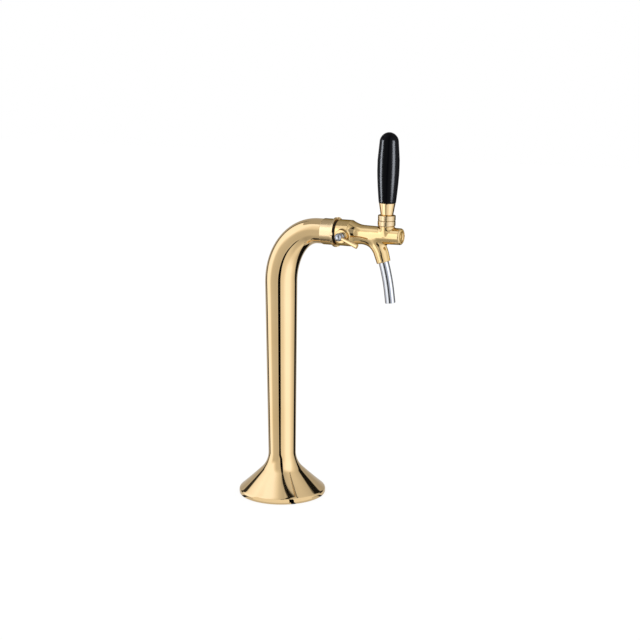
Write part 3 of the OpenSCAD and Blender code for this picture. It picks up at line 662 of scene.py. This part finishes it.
# front plug with its ring and button
plug = {"radius": 7.0, "edge": 0.5, "backEdge": 0.3, "ringOut": 5.5, "ringIn": 4.7, "ringEdge": 0.3,
        "dish": 1.0, "button": 2.6, "buttonTop": 1.4, "buttonEdge": 0.4, "buttonDrop": 0.4, "crownDrop": 0.2,
        "sides": 72}
plugLow, plugHigh = boxOf("front_plug")
plugFace, dishFace = plugHigh.x, plugHigh.x - plug["dish"]
frontPlug = turned("frontPlug", (0, 0, tapZ), (1, 0, 0), [
    (0, plugLow.x), (plug["radius"], plugLow.x, plug["backEdge"]), (plug["radius"], plugFace, plug["edge"]),
    (plug["ringOut"], plugFace, plug["ringEdge"]), (plug["ringIn"], dishFace, plug["ringEdge"]),
    (plug["button"], dishFace, plug["buttonEdge"]),
    (plug["buttonTop"], plugFace - plug["buttonDrop"], plug["buttonEdge"]),
    (0, plugFace - plug["crownDrop"])], goldTapShaded, plug["sides"])
fits(frontPlug, "tower", "gold_fitting", "front_plug")

# side flow control
gland = {"bore": 4.7, "boreEdge": 0.3, "edge": 0.8, "seatEdge": 0.2, "skirt": 2.0, "skirtDeep": 4.0,
         "sides": 80}
skirtRadius, skirtEnd = bossRadius - gland["skirt"], -bossFace - gland["skirtDeep"]
glandNut = turned("glandNut", (spindleX, 0, spindleZ), (0, -1, 0), [
    (gland["bore"], skirtEnd), (skirtRadius, skirtEnd), (skirtRadius, -bossFace),
    (bossRadius, -bossFace, gland["seatEdge"]), (bossRadius, -glandLow.y, gland["edge"]),
    (gland["bore"], -glandLow.y, gland["boreEdge"]), (gland["bore"], skirtEnd)], goldTapShaded, gland["sides"])
fits(glandNut, "tower", "gold_fitting", "gland_nut")

knob = {"radius": 5.0, "neck": 0.8, "shaft": 4.5, "shaftDeep": 6.0, "proud": 0.9, "fillet": 0.3, "steps": 22,
        "sides": 64}
knobY = -knobLow.y - knob["radius"]
shaftEnd = -bossFace - knob["shaftDeep"]
neckAngle = -math.degrees(math.acos(knob["shaft"] * knob["neck"] / knob["radius"]))
knobOutline = [(0, shaftEnd), (knob["shaft"], shaftEnd),
               (knob["shaft"], -glandLow.y + knob["proud"], knob["fillet"])]
knobOutline += arc((0, knobY), knob["radius"], neckAngle, 90, knob["steps"])
flowKnob = turned("flowKnob", (spindleX, 0, spindleZ), (0, -1, 0), knobOutline, steel, knob["sides"])
fits(flowKnob, "flow_control", "stainless", "flow_spindle")

lever = {"from": 1.0, "thin": 1.9, "thick": 3.0, "proud": 0.5, "fillet": 0.6, "length": 26.5, "edge": 0.5,
         "droop": 21.4, "sides": 56}
droop = math.radians(lever["droop"])
flowLever = turned("flowLever", (spindleX, -knobY, spindleZ), (math.cos(droop), 0, -math.sin(droop)), [
    (0, lever["from"]), (lever["thin"], lever["from"]),
    (lever["thin"], knob["radius"] + lever["proud"], lever["fillet"]),
    (lever["thick"], lever["length"], lever["edge"]), (0, lever["length"])], goldTurned, lever["sides"])
fits(flowLever, "flow_control", "gold_fitting", "flow_lever")

# rings under the handle, which meet on a sphere about the pivot
handle = {"lean": 1.4, "collarTop": 14.2, "ferrule": 14.7, "grip": 83.8}
joints = {joint["name"]: joint for joint in frame["record"]["behaviour"]["joints"]}
pivot = Vector(joints["handle_tilt"]["pos_m"]) / mm
handleLean = math.radians(handle["lean"])
handleAxis = Vector((math.sin(handleLean), 0, math.cos(handleLean)))
ringShape = {"dome": 12.79, "open": 34.2, "hollow": 13.09, "hollowFrom": 79, "steps": 12, "edge": 0.8,
             "rim": 0.3, "rimEdge": 0.3, "bonnetRim": 0.4, "collarRim": 0.3, "lip": 0.3, "lipDeep": 2.0,
             "bore": 2.6, "thread": 8.9, "threadDeep": 6.0}
bonnetRadius = (bonnetHigh.y - bonnetLow.y) / 2
bonnetBase = bonnetLow.z - pivot.z
domeFrom = math.degrees(math.acos((bonnetRadius - ringShape["rim"]) / ringShape["dome"]))
domeArc = arc((0, 0), ringShape["dome"], domeFrom, 90 - ringShape["open"], ringShape["steps"])
bonnetOutline = [
    (ringShape["thread"], bonnetBase), (bonnetRadius, bonnetBase, ringShape["edge"]),
    (bonnetRadius, domeArc[0][1] - ringShape["bonnetRim"], ringShape["rimEdge"])] + domeArc + [
    (domeArc[-1][0] - ringShape["lip"], domeArc[-1][1] - ringShape["lipDeep"]),
    (ringShape["thread"], bonnetBase + ringShape["threadDeep"]), (ringShape["thread"], bonnetBase)]
bonnet = turned("bonnetNut", pivot, (0, 0, 1), bonnetOutline, goldSatin)
fits(bonnet, "tower", "gold_fitting", "bonnet_nut")

collarLow, collarHigh = boxOf("handle_collar")
collarRadius = (collarHigh.y - collarLow.y) / 2
collarTop = handle["collarTop"]
hollowTo = math.degrees(math.acos((collarRadius - ringShape["rim"]) / ringShape["hollow"]))
hollowArc = arc((0, 0), ringShape["hollow"], ringShape["hollowFrom"], hollowTo, ringShape["steps"])
collarOutline = [(ringShape["bore"], collarTop)] + hollowArc + [
    (collarRadius, hollowArc[-1][1] + ringShape["collarRim"], ringShape["rimEdge"]),
    (collarRadius, collarTop, ringShape["edge"]), (ringShape["bore"], collarTop)]
collar = turned("handleCollar", pivot, handleAxis, collarOutline, goldSatin)
fits(collar, "handle", "gold_fitting", "handle_collar")

ferruleShape = {"low": 7.5, "edge": 0.3, "band": 0.8, "bandEdge": 0.6}
ferruleLow, ferruleHigh = boxOf("handle_ferrule")
ferruleRadius = (ferruleHigh.y - ferruleLow.y) / 2
ferruleTop = collarTop + handle["ferrule"]
ferrule = turned("handleFerrule", pivot, handleAxis, [
    (ringShape["bore"], collarTop), (ferruleShape["low"], collarTop, ferruleShape["edge"]),
    (ferruleRadius, ferruleTop - ferruleShape["band"], ferruleShape["bandEdge"]),
    (ferruleRadius, ferruleTop, ferruleShape["edge"]), (ringShape["bore"], ferruleTop),
    (ringShape["bore"], collarTop)], goldTurned)
fits(ferrule, "handle", "gold_fitting", "handle_ferrule")

# grip: footEdge lists the rounding under it as insets and heights
gripShape = {"bore": 2.6, "foot": 10.3, "footEdge": ((0.6, 0.0), (0.2, 0.12), (0.0, 0.5)), "wideAt": 0.47,
             "swell": 1.5, "taper": 0.205, "taperFrom": 33.0, "cap": 10.5, "lowSteps": 30, "highSteps": 60,
             "sides": 112}
gripLow, gripHigh = boxOf("handle_grip")


def gripOutline():
    wide, length, foot = (gripHigh.y - gripLow.y) / 2, handle["grip"], gripShape["foot"]
    belly = length * gripShape["wideAt"]
    made = [(gripShape["bore"], 0)] + [(foot - inset, z) for inset, z in gripShape["footEdge"]]
    for i in range(1, gripShape["lowSteps"] + 1):
        s = i / gripShape["lowSteps"]
        made.append((wide - (wide - foot) * (1 - s) ** gripShape["swell"], belly * s))
    for i in range(1, gripShape["highSteps"]):
        z = belly + (length - belly) * math.sin(math.pi / 2 * i / gripShape["highSteps"])
        depth = length - z
        r = wide * (1 - gripShape["taper"] * max(0, 1 - depth / gripShape["taperFrom"]))
        if depth < gripShape["cap"]:
            r *= math.sqrt(max(0, 1 - (1 - depth / gripShape["cap"]) ** 2))
        made.append((r, z))
    return made + [(0, length)]


grip = turned("handleGrip", pivot + handleAxis * ferruleTop, handleAxis, gripOutline(), gripBlack,
              gripShape["sides"])
fits(grip, "handle", "black_grip", "handle_grip")

# spout: a bent tube with its wall shown at the open end
spoutShape = {"radius": 6.25, "wall": 1.0, "curve": 230.0, "endLean": 7.0, "outlet": 11.7, "inSocket": 8.0,
              "clear": 0.2, "lip": 1.0, "edge": 0.35, "steps": 30, "sides": 72}


def spoutRows():
    curve, endLean, lip = spoutShape["curve"], math.radians(spoutShape["endLean"]), spoutShape["lip"]
    middle = socketEnd - curve * outward(lean)
    places = [(socketEnd - down * spoutShape[back], lean) for back in ("inSocket", "clear")]
    for i in range(spoutShape["steps"] + 1):
        a = lean + (endLean - lean) * i / spoutShape["steps"]
        places.append((middle + curve * outward(a), a))
    tip = places[-1][0]
    places.append((tip + (spoutShape["outlet"] - lip) * onward(endLean), endLean))
    end = tip + spoutShape["outlet"] * onward(endLean)

    def row(place, a, r):
        return Vector(place), Vector(outward(a)), Vector((0, 1, 0)), r

    outer, bore, edge = spoutShape["radius"], spoutShape["radius"] - spoutShape["wall"], spoutShape["edge"]
    rows = [row(place, a, outer) for place, a in places]
    for r, along in rounded([(outer, -lip), (outer, 0, edge), (bore, 0, edge), (bore, -lip)]):
        rows.append(row(end + onward(endLean) * along, endLean, r))
    rows += [row(place, a, bore) for place, a in places[::-1]]
    return rows + rows[:1]


spout = skin("spoutTube", spoutRows(), steel, spoutShape["sides"])
fits(spout, "tower", "stainless", "spout_tube")
print("tap pieces made")

# the nodes that stay as they are
finish = {"rubber": rubber, "nylon": nylon, "stainless": steel, "gold_fitting": goldTurned,
          "gold_casting": goldCast, "black_grip": gripBlack}
for part in frame["record"]["subparts"]:
    node = frame["nodes"][part["node"]]
    node.data.materials.clear()
    node.data.materials.append(finish[part["material_slot"]])

# studio: white to the camera, and a ring of soft panels and dark cards in reflections
# low, middle and high are levels of light by azimuth, and bands are the elevations where each gives way
# to the next; angles are in degrees, with azimuth 0 towards the camera
studio = {
    "toward": (0.469, -0.883, 0.0), "right": (0.883, 0.469, 0.0),
    "low": ((-180, 0.60), (-160, 0.50), (-146, 0.42), (-124, 0.75), (-116, 1.15), (-92, 1.12), (-76, 0.64),
            (-35, 0.55), (-10, 0.80), (12, 0.88), (35, 1.18), (60, 1.15), (82, 0.88), (100, 0.68),
            (116, 0.45), (140, 0.35), (180, 0.60)),
    "middle": ((-180, 0.42), (-150, 0.40), (-128, 1.0), (-112, 1.15), (-72, 1.15), (-46, 0.64), (-16, 0.60),
               (0, 0.85), (20, 1.05), (35, 1.18), (62, 1.18), (82, 0.86), (100, 0.66), (120, 0.5),
               (150, 0.4), (180, 0.42)),
    "high": ((-180, 0.45), (-112, 0.48), (-92, 1.12), (-68, 1.08), (-25, 0.64), (-8, 0.58), (6, 0.52),
             (50, 0.60), (120, 0.55), (180, 0.45)),
    "bands": (5, 24, 46, 74), "under": 0.72, "underFrom": (-26, -48),
    "cool": (0.0, 0.05, 0.2), "coolFrom": (0.75, 1.15)}
cards = {
    "edge": 1.5, "lowFade": 3, "highFade": 4, "thinFrom": (16.5, 23),
    "upright": ({"at": -9, "shift": 0.11, "dip": 0.4, "half": 9.5, "widen": 0.0, "thin": 5.5,
                 "low": -34, "high": 73, "dark": 1.0},
                {"at": -135, "shift": -0.13, "dip": -0.5, "half": 5.5, "widen": 0.17, "thin": 0.0,
                 "low": -28, "high": 52, "dark": 0.96},
                {"at": 128, "shift": 0.0, "dip": 0.0, "half": 8.5, "widen": 0.45, "thin": 0.0,
                 "low": -80, "high": 42, "dark": 0.98},
                {"at": -100, "shift": 0.0, "dip": 0.0, "half": 24.0, "widen": 0.0, "thin": 0.0,
                 "low": -94, "high": -46, "dark": 0.93}),
    "overhead": {"normal": (-0.855, 0.457, 0.245), "half": 1.65, "soft": 0.3, "from": -0.03,
                 "fromFade": 0.02, "to": 0.36, "toFade": 0.03, "low": 66, "lowFade": 2}}


def levelRamp(tree, turn, levels):
    ramp = addNode(tree, "ShaderNodeValToRGB", {}, {"Fac": turn})
    stops = ramp.color_ramp.elements
    while len(stops) < len(levels):
        stops.new(0.5)
    for stop, (degrees, level) in zip(stops, levels):
        stop.position = degrees / 360 + 0.5
        stop.color = (level, level, level, 1)
    return ramp.outputs[0]


def blended(tree, a, b, share):
    return addNode(tree, "ShaderNodeMix", {"data_type": "FLOAT"}, {"Factor": share, 2: a, 3: b}).outputs[0]


# an upright dark card, given by its azimuth and the elevations between which it stands
def cardMask(tree, azimuth, rise, card):
    low, high, lowFade, highFade = card["low"], card["high"], cards["lowFade"], cards["highFade"]
    below = calc(tree, "MAXIMUM", calc(tree, "MULTIPLY", rise, -1), 0)
    middle = calc(tree, "ADD", calc(tree, "MULTIPLY", rise, card["shift"]), card["at"])
    middle = calc(tree, "SUBTRACT", middle, calc(tree, "MULTIPLY", below, card["dip"]))
    across = calc(tree, "ABSOLUTE", calc(tree, "SUBTRACT", azimuth, middle))
    half = calc(tree, "ADD", calc(tree, "MULTIPLY", below, card["widen"]), card["half"])
    half = calc(tree, "SUBTRACT", half, spread(tree, below, *cards["thinFrom"], 0, card["thin"]))
    past = calc(tree, "SUBTRACT", across, half)
    strip = spread(tree, past, -cards["edge"], cards["edge"], card["dark"], 0, "SMOOTHSTEP")
    above = spread(tree, rise, low - lowFade, low + lowFade, 0, 1)
    under = spread(tree, rise, high - highFade, high + highFade, 1, 0)
    return calc(tree, "MULTIPLY", strip, calc(tree, "MULTIPLY", above, under))


# a narrow dark strip across the top of the room
def overheadMask(tree, direction, aside, rise):
    card = cards["overhead"]
    across = calc(tree, "ABSOLUTE", vectorCalc(tree, "DOT_PRODUCT", direction, card["normal"]))
    edge = math.sin(math.radians(card["half"]))
    strip = spread(tree, across, edge * (1 - card["soft"]), edge * (1 + card["soft"]), 1, 0, "SMOOTHSTEP")
    ends = ((aside, card["from"], card["fromFade"]), (aside, card["to"], -card["toFade"]),
            (rise, card["low"], card["lowFade"]))
    for value, middle, fade in ends:
        strip = calc(tree, "MULTIPLY", strip, spread(tree, value, middle - fade, middle + fade, 0, 1))
    return strip


def makeStudio():
    world = bpy.data.worlds.new("studio")
    scene.world = world
    world.use_nodes = True
    tree = world.node_tree
    tree.nodes.clear()
    direction = tree.nodes.new("ShaderNodeTexCoord").outputs["Generated"]
    ahead = vectorCalc(tree, "DOT_PRODUCT", direction, studio["toward"])
    aside = vectorCalc(tree, "DOT_PRODUCT", direction, studio["right"])
    turn = calc(tree, "ADD", calc(tree, "DIVIDE", calc(tree, "ARCTAN2", aside, ahead), math.tau), 0.5)
    azimuth = calc(tree, "MULTIPLY", calc(tree, "SUBTRACT", turn, 0.5), 360)
    height = addNode(tree, "ShaderNodeSeparateXYZ", {}, {0: direction}).outputs["Z"]
    rise = calc(tree, "MULTIPLY", calc(tree, "ARCSINE", height), math.degrees(1))
    low, middle, high = (levelRamp(tree, turn, studio[band]) for band in ("low", "middle", "high"))
    light = blended(tree, low, middle, spread(tree, rise, *studio["bands"][:2], 0, 1, "SMOOTHSTEP"))
    light = blended(tree, light, high, spread(tree, rise, *studio["bands"][2:], 0, 1, "SMOOTHSTEP"))
    under = spread(tree, rise, *studio["underFrom"], 1, studio["under"], "SMOOTHSTEP")
    light = calc(tree, "MULTIPLY", light, under)
    masks = [overheadMask(tree, direction, aside, rise)]
    masks += [cardMask(tree, azimuth, rise, card) for card in cards["upright"]]
    for mask in masks:
        light = calc(tree, "MULTIPLY", light, calc(tree, "SUBTRACT", 1, mask))
    share = spread(tree, light, *studio["coolFrom"], 0, 1, "SMOOTHSTEP")
    tinted = {}
    for channel, cool in zip(("Red", "Green", "Blue"), studio["cool"]):
        tinted[channel] = calc(tree, "MULTIPLY", light, calc(tree, "MULTIPLY_ADD", share, cool, 1))
    colour = addNode(tree, "ShaderNodeCombineColor", {}, tinted).outputs[0]
    glossy = tree.nodes.new("ShaderNodeLightPath").outputs["Is Glossy Ray"]
    seen = addNode(tree, "ShaderNodeMix", {"data_type": "RGBA"},
                   {"Factor": glossy, 6: (1, 1, 1, 1), 7: colour})
    back = addNode(tree, "ShaderNodeBackground", {}, {"Color": seen.outputs[2]})
    tree.links.new(back.outputs[0], tree.nodes.new("ShaderNodeOutputWorld").inputs[0])


makeStudio()


def glowing(name, level, shade=0):
    material, shader = newMaterial(name)
    shader["Base Color"].default_value = (shade, shade, shade, 1)
    shader["Roughness"].default_value = 1
    shader["Specular IOR Level"].default_value = 0
    shader["Emission Color"].default_value = (1, 1, 1, 1)
    shader["Emission Strength"].default_value = level
    return material


def sheet(name, x, y, z, material):
    corners = ((x[0], y[0]), (x[1], y[0]), (x[1], y[1]), (x[0], y[1]))
    mesh = bpy.data.meshes.new(name)
    mesh.from_pydata([Vector((*corner, z)) * mm for corner in corners], [], [(0, 1, 2, 3)])
    mesh.materials.append(material)
    return addObject(name, mesh)


floorLook = {"reach": (-4000, 4000), "drop": 0.1, "glow": 0.86, "shade": 0.16}


def makeFloor():
    pale = glowing("paleFloor", floorLook["glow"], floorLook["shade"])
    floor = sheet("floor", floorLook["reach"], floorLook["reach"], -floorLook["drop"], pale)
    floor.visible_glossy = False
    floor.visible_diffuse = False


makeFloor()


# what only reflections see; sizes in millimetres, angles in degrees as in the studio
def onlyReflected(obj):
    obj.visible_camera = obj.visible_diffuse = obj.visible_shadow = obj.visible_transmission = False


def outTo(azimuth):
    a = math.radians(azimuth)
    return Vector(studio["toward"]) * math.cos(a) + Vector(studio["right"]) * math.sin(a)


def streaked(name, points, faces, look):
    mesh = bpy.data.meshes.new(name)
    mesh.from_pydata([point * mm for point in points], [], faces)
    mesh.materials.append(glowing(name + "Light", look["level"]))
    mesh.materials.append(glowing(name + "Dark", 0))
    for face, turn in zip(mesh.polygons, range(*look["turns"])):
        middle = turn + look["turns"][2] / 2
        face.material_index = int(any(abs(middle - at) <= half for at, half in look["streaks"]))
    onlyReflected(addObject(name, mesh))


# a pale patch round the foot, with dark streaks where the cards stand
bounce = {"radius": 115, "drop": 0.2, "level": 0.6, "turns": (-180, 180, 3),
          "streaks": ((-67, 4), (15, 3), (66, 4))}


def makeBounce():
    drop = Vector((0, 0, -bounce["drop"]))
    rim = [outTo(turn) * bounce["radius"] + drop for turn in range(*bounce["turns"])]
    wedges = [(0, i + 1, (i + 1) % len(rim) + 1) for i in range(len(rim))]
    streaked("bounce", [drop] + rim, wedges, bounce)


# a low pale kerb in front of the foot, which shows in its lip
kerb = {"radius": 62, "height": 22, "level": 0.85, "turns": (-48, 49, 1), "streaks": ((13.5, 3),)}


def makeKerb():
    turns = range(*kerb["turns"])
    count = len(turns)
    points = [outTo(turn) * kerb["radius"] + Vector((0, 0, z))
              for z in (0, kerb["height"]) for turn in turns]
    walls = [(i, i + 1, count + i + 1, count + i) for i in range(count - 1)]
    streaked("kerb", points, walls, kerb)


# a dim flag above the neck, out of the foot's sight
flag = {"level": 0.42, "x": (-175, -5), "y": (-109, 70), "z": 590}

makeBounce()
makeKerb()
onlyReflected(sheet("flag", flag["x"], flag["y"], flag["z"], glowing("flagDim", flag["level"])))

# lamps light only the pieces that they are linked to; aims are in millimetres, away and size in metres
lampAim = {"tapBack": 25, "spoutBack": 18, "spoutDown": 55}
coolWhite, gripWhite = (0.95, 1.0, 1.15), (0.87, 0.92, 1.0)
tapPieces = (tapBody, sleeve, notched, bonnet, collar, ferrule, frontPlug, glandNut, flowLever)
tapMiddle = Vector((handleX - lampAim["tapBack"], 0, tapZ)) * mm
plugMiddle = Vector((bodyHigh.x, 0, tapZ)) * mm
gripMiddle = Vector((handleX, 0, (gripLow.z + gripHigh.z) / 2)) * mm
spoutMiddle = Vector((bodyHigh.x - lampAim["spoutBack"], 0, tapZ - lampAim["spoutDown"])) * mm
lamps = {
    "tapMid": {"azimuth": -56, "rise": 6, "away": 0.5, "size": (0.34, 0.80), "level": 0.25,
               "on": tapPieces, "at": tapMiddle, "colour": coolWhite},
    "tapCore": {"azimuth": -56, "rise": 5, "away": 0.5, "size": (0.28, 0.60), "level": 0.70,
                "on": tapPieces, "at": tapMiddle, "colour": coolWhite},
    "tapFill": {"azimuth": -9, "rise": 29, "away": 0.8, "size": (0.36, 0.62), "level": 0.38,
                "on": (tapBody, glandNut), "at": tapMiddle, "colour": coolWhite},
    "tapFront": {"azimuth": 124, "rise": -12, "away": 0.3, "size": (0.24, 0.36), "level": 0.75,
                 "on": (tapBody, frontPlug, flowLever, notched), "at": plugMiddle},
    "spoutLeft": {"azimuth": -57, "rise": -8, "away": 0.5, "size": (0.38, 0.6), "level": 1.7,
                  "on": (spout, flowKnob), "at": spoutMiddle},
    "spoutRight": {"azimuth": 60, "rise": -8, "away": 0.5, "size": (0.42, 0.6), "level": 1.7,
                   "on": (spout,), "at": spoutMiddle},
    "gripLeft": {"azimuth": -87, "rise": -1, "away": 0.9, "size": (0.28, 0.66), "level": 66,
                 "on": (grip,), "at": gripMiddle, "colour": gripWhite},
    "gripRight": {"azimuth": 51, "rise": -1, "away": 0.9, "size": (0.40, 0.66), "level": 66,
                  "on": (grip,), "at": gripMiddle, "colour": gripWhite}}


def makeLamp(name, given):
    lamp = bpy.data.lights.new(name, "AREA")
    lamp.shape = "RECTANGLE"
    lamp.size, lamp.size_y = given["size"]
    lamp.energy = given["level"] * math.pi * lamp.size * lamp.size_y
    lamp.color = given.get("colour", (1, 1, 1))
    obj = addObject(name, lamp)
    rise = math.radians(given["rise"])
    way = outTo(given["azimuth"]) * math.cos(rise) + Vector((0, 0, math.sin(rise)))
    obj.location = given["at"] + way * given["away"]
    obj.rotation_mode = "QUATERNION"
    obj.rotation_quaternion = way.to_track_quat("Z", "Y")
    lit = bpy.data.collections.new(name + "Lit")
    for piece in given["on"]:
        lit.objects.link(piece)
    obj.light_linking.receiver_collection = lit


for name, given in lamps.items():
    makeLamp(name, given)
print("studio made with", len(lamps), "lamps")

# camera where the photograph was taken
view = {"place": (0.845, -1.5893, 0.606), "pitch": -11.97, "turn": 26.46, "lens": 82.5, "sensor": 36}
camera = bpy.data.cameras.new("photoCamera")
camera.lens = view["lens"]
camera.sensor_width = view["sensor"]
cameraObject = addObject("photoCamera", camera)
cameraObject.location = view["place"]
cameraObject.rotation_euler = (math.radians(90 + view["pitch"]), 0, math.radians(view["turn"]))
scene.camera = cameraObject
scene.view_settings.view_transform = "Standard"
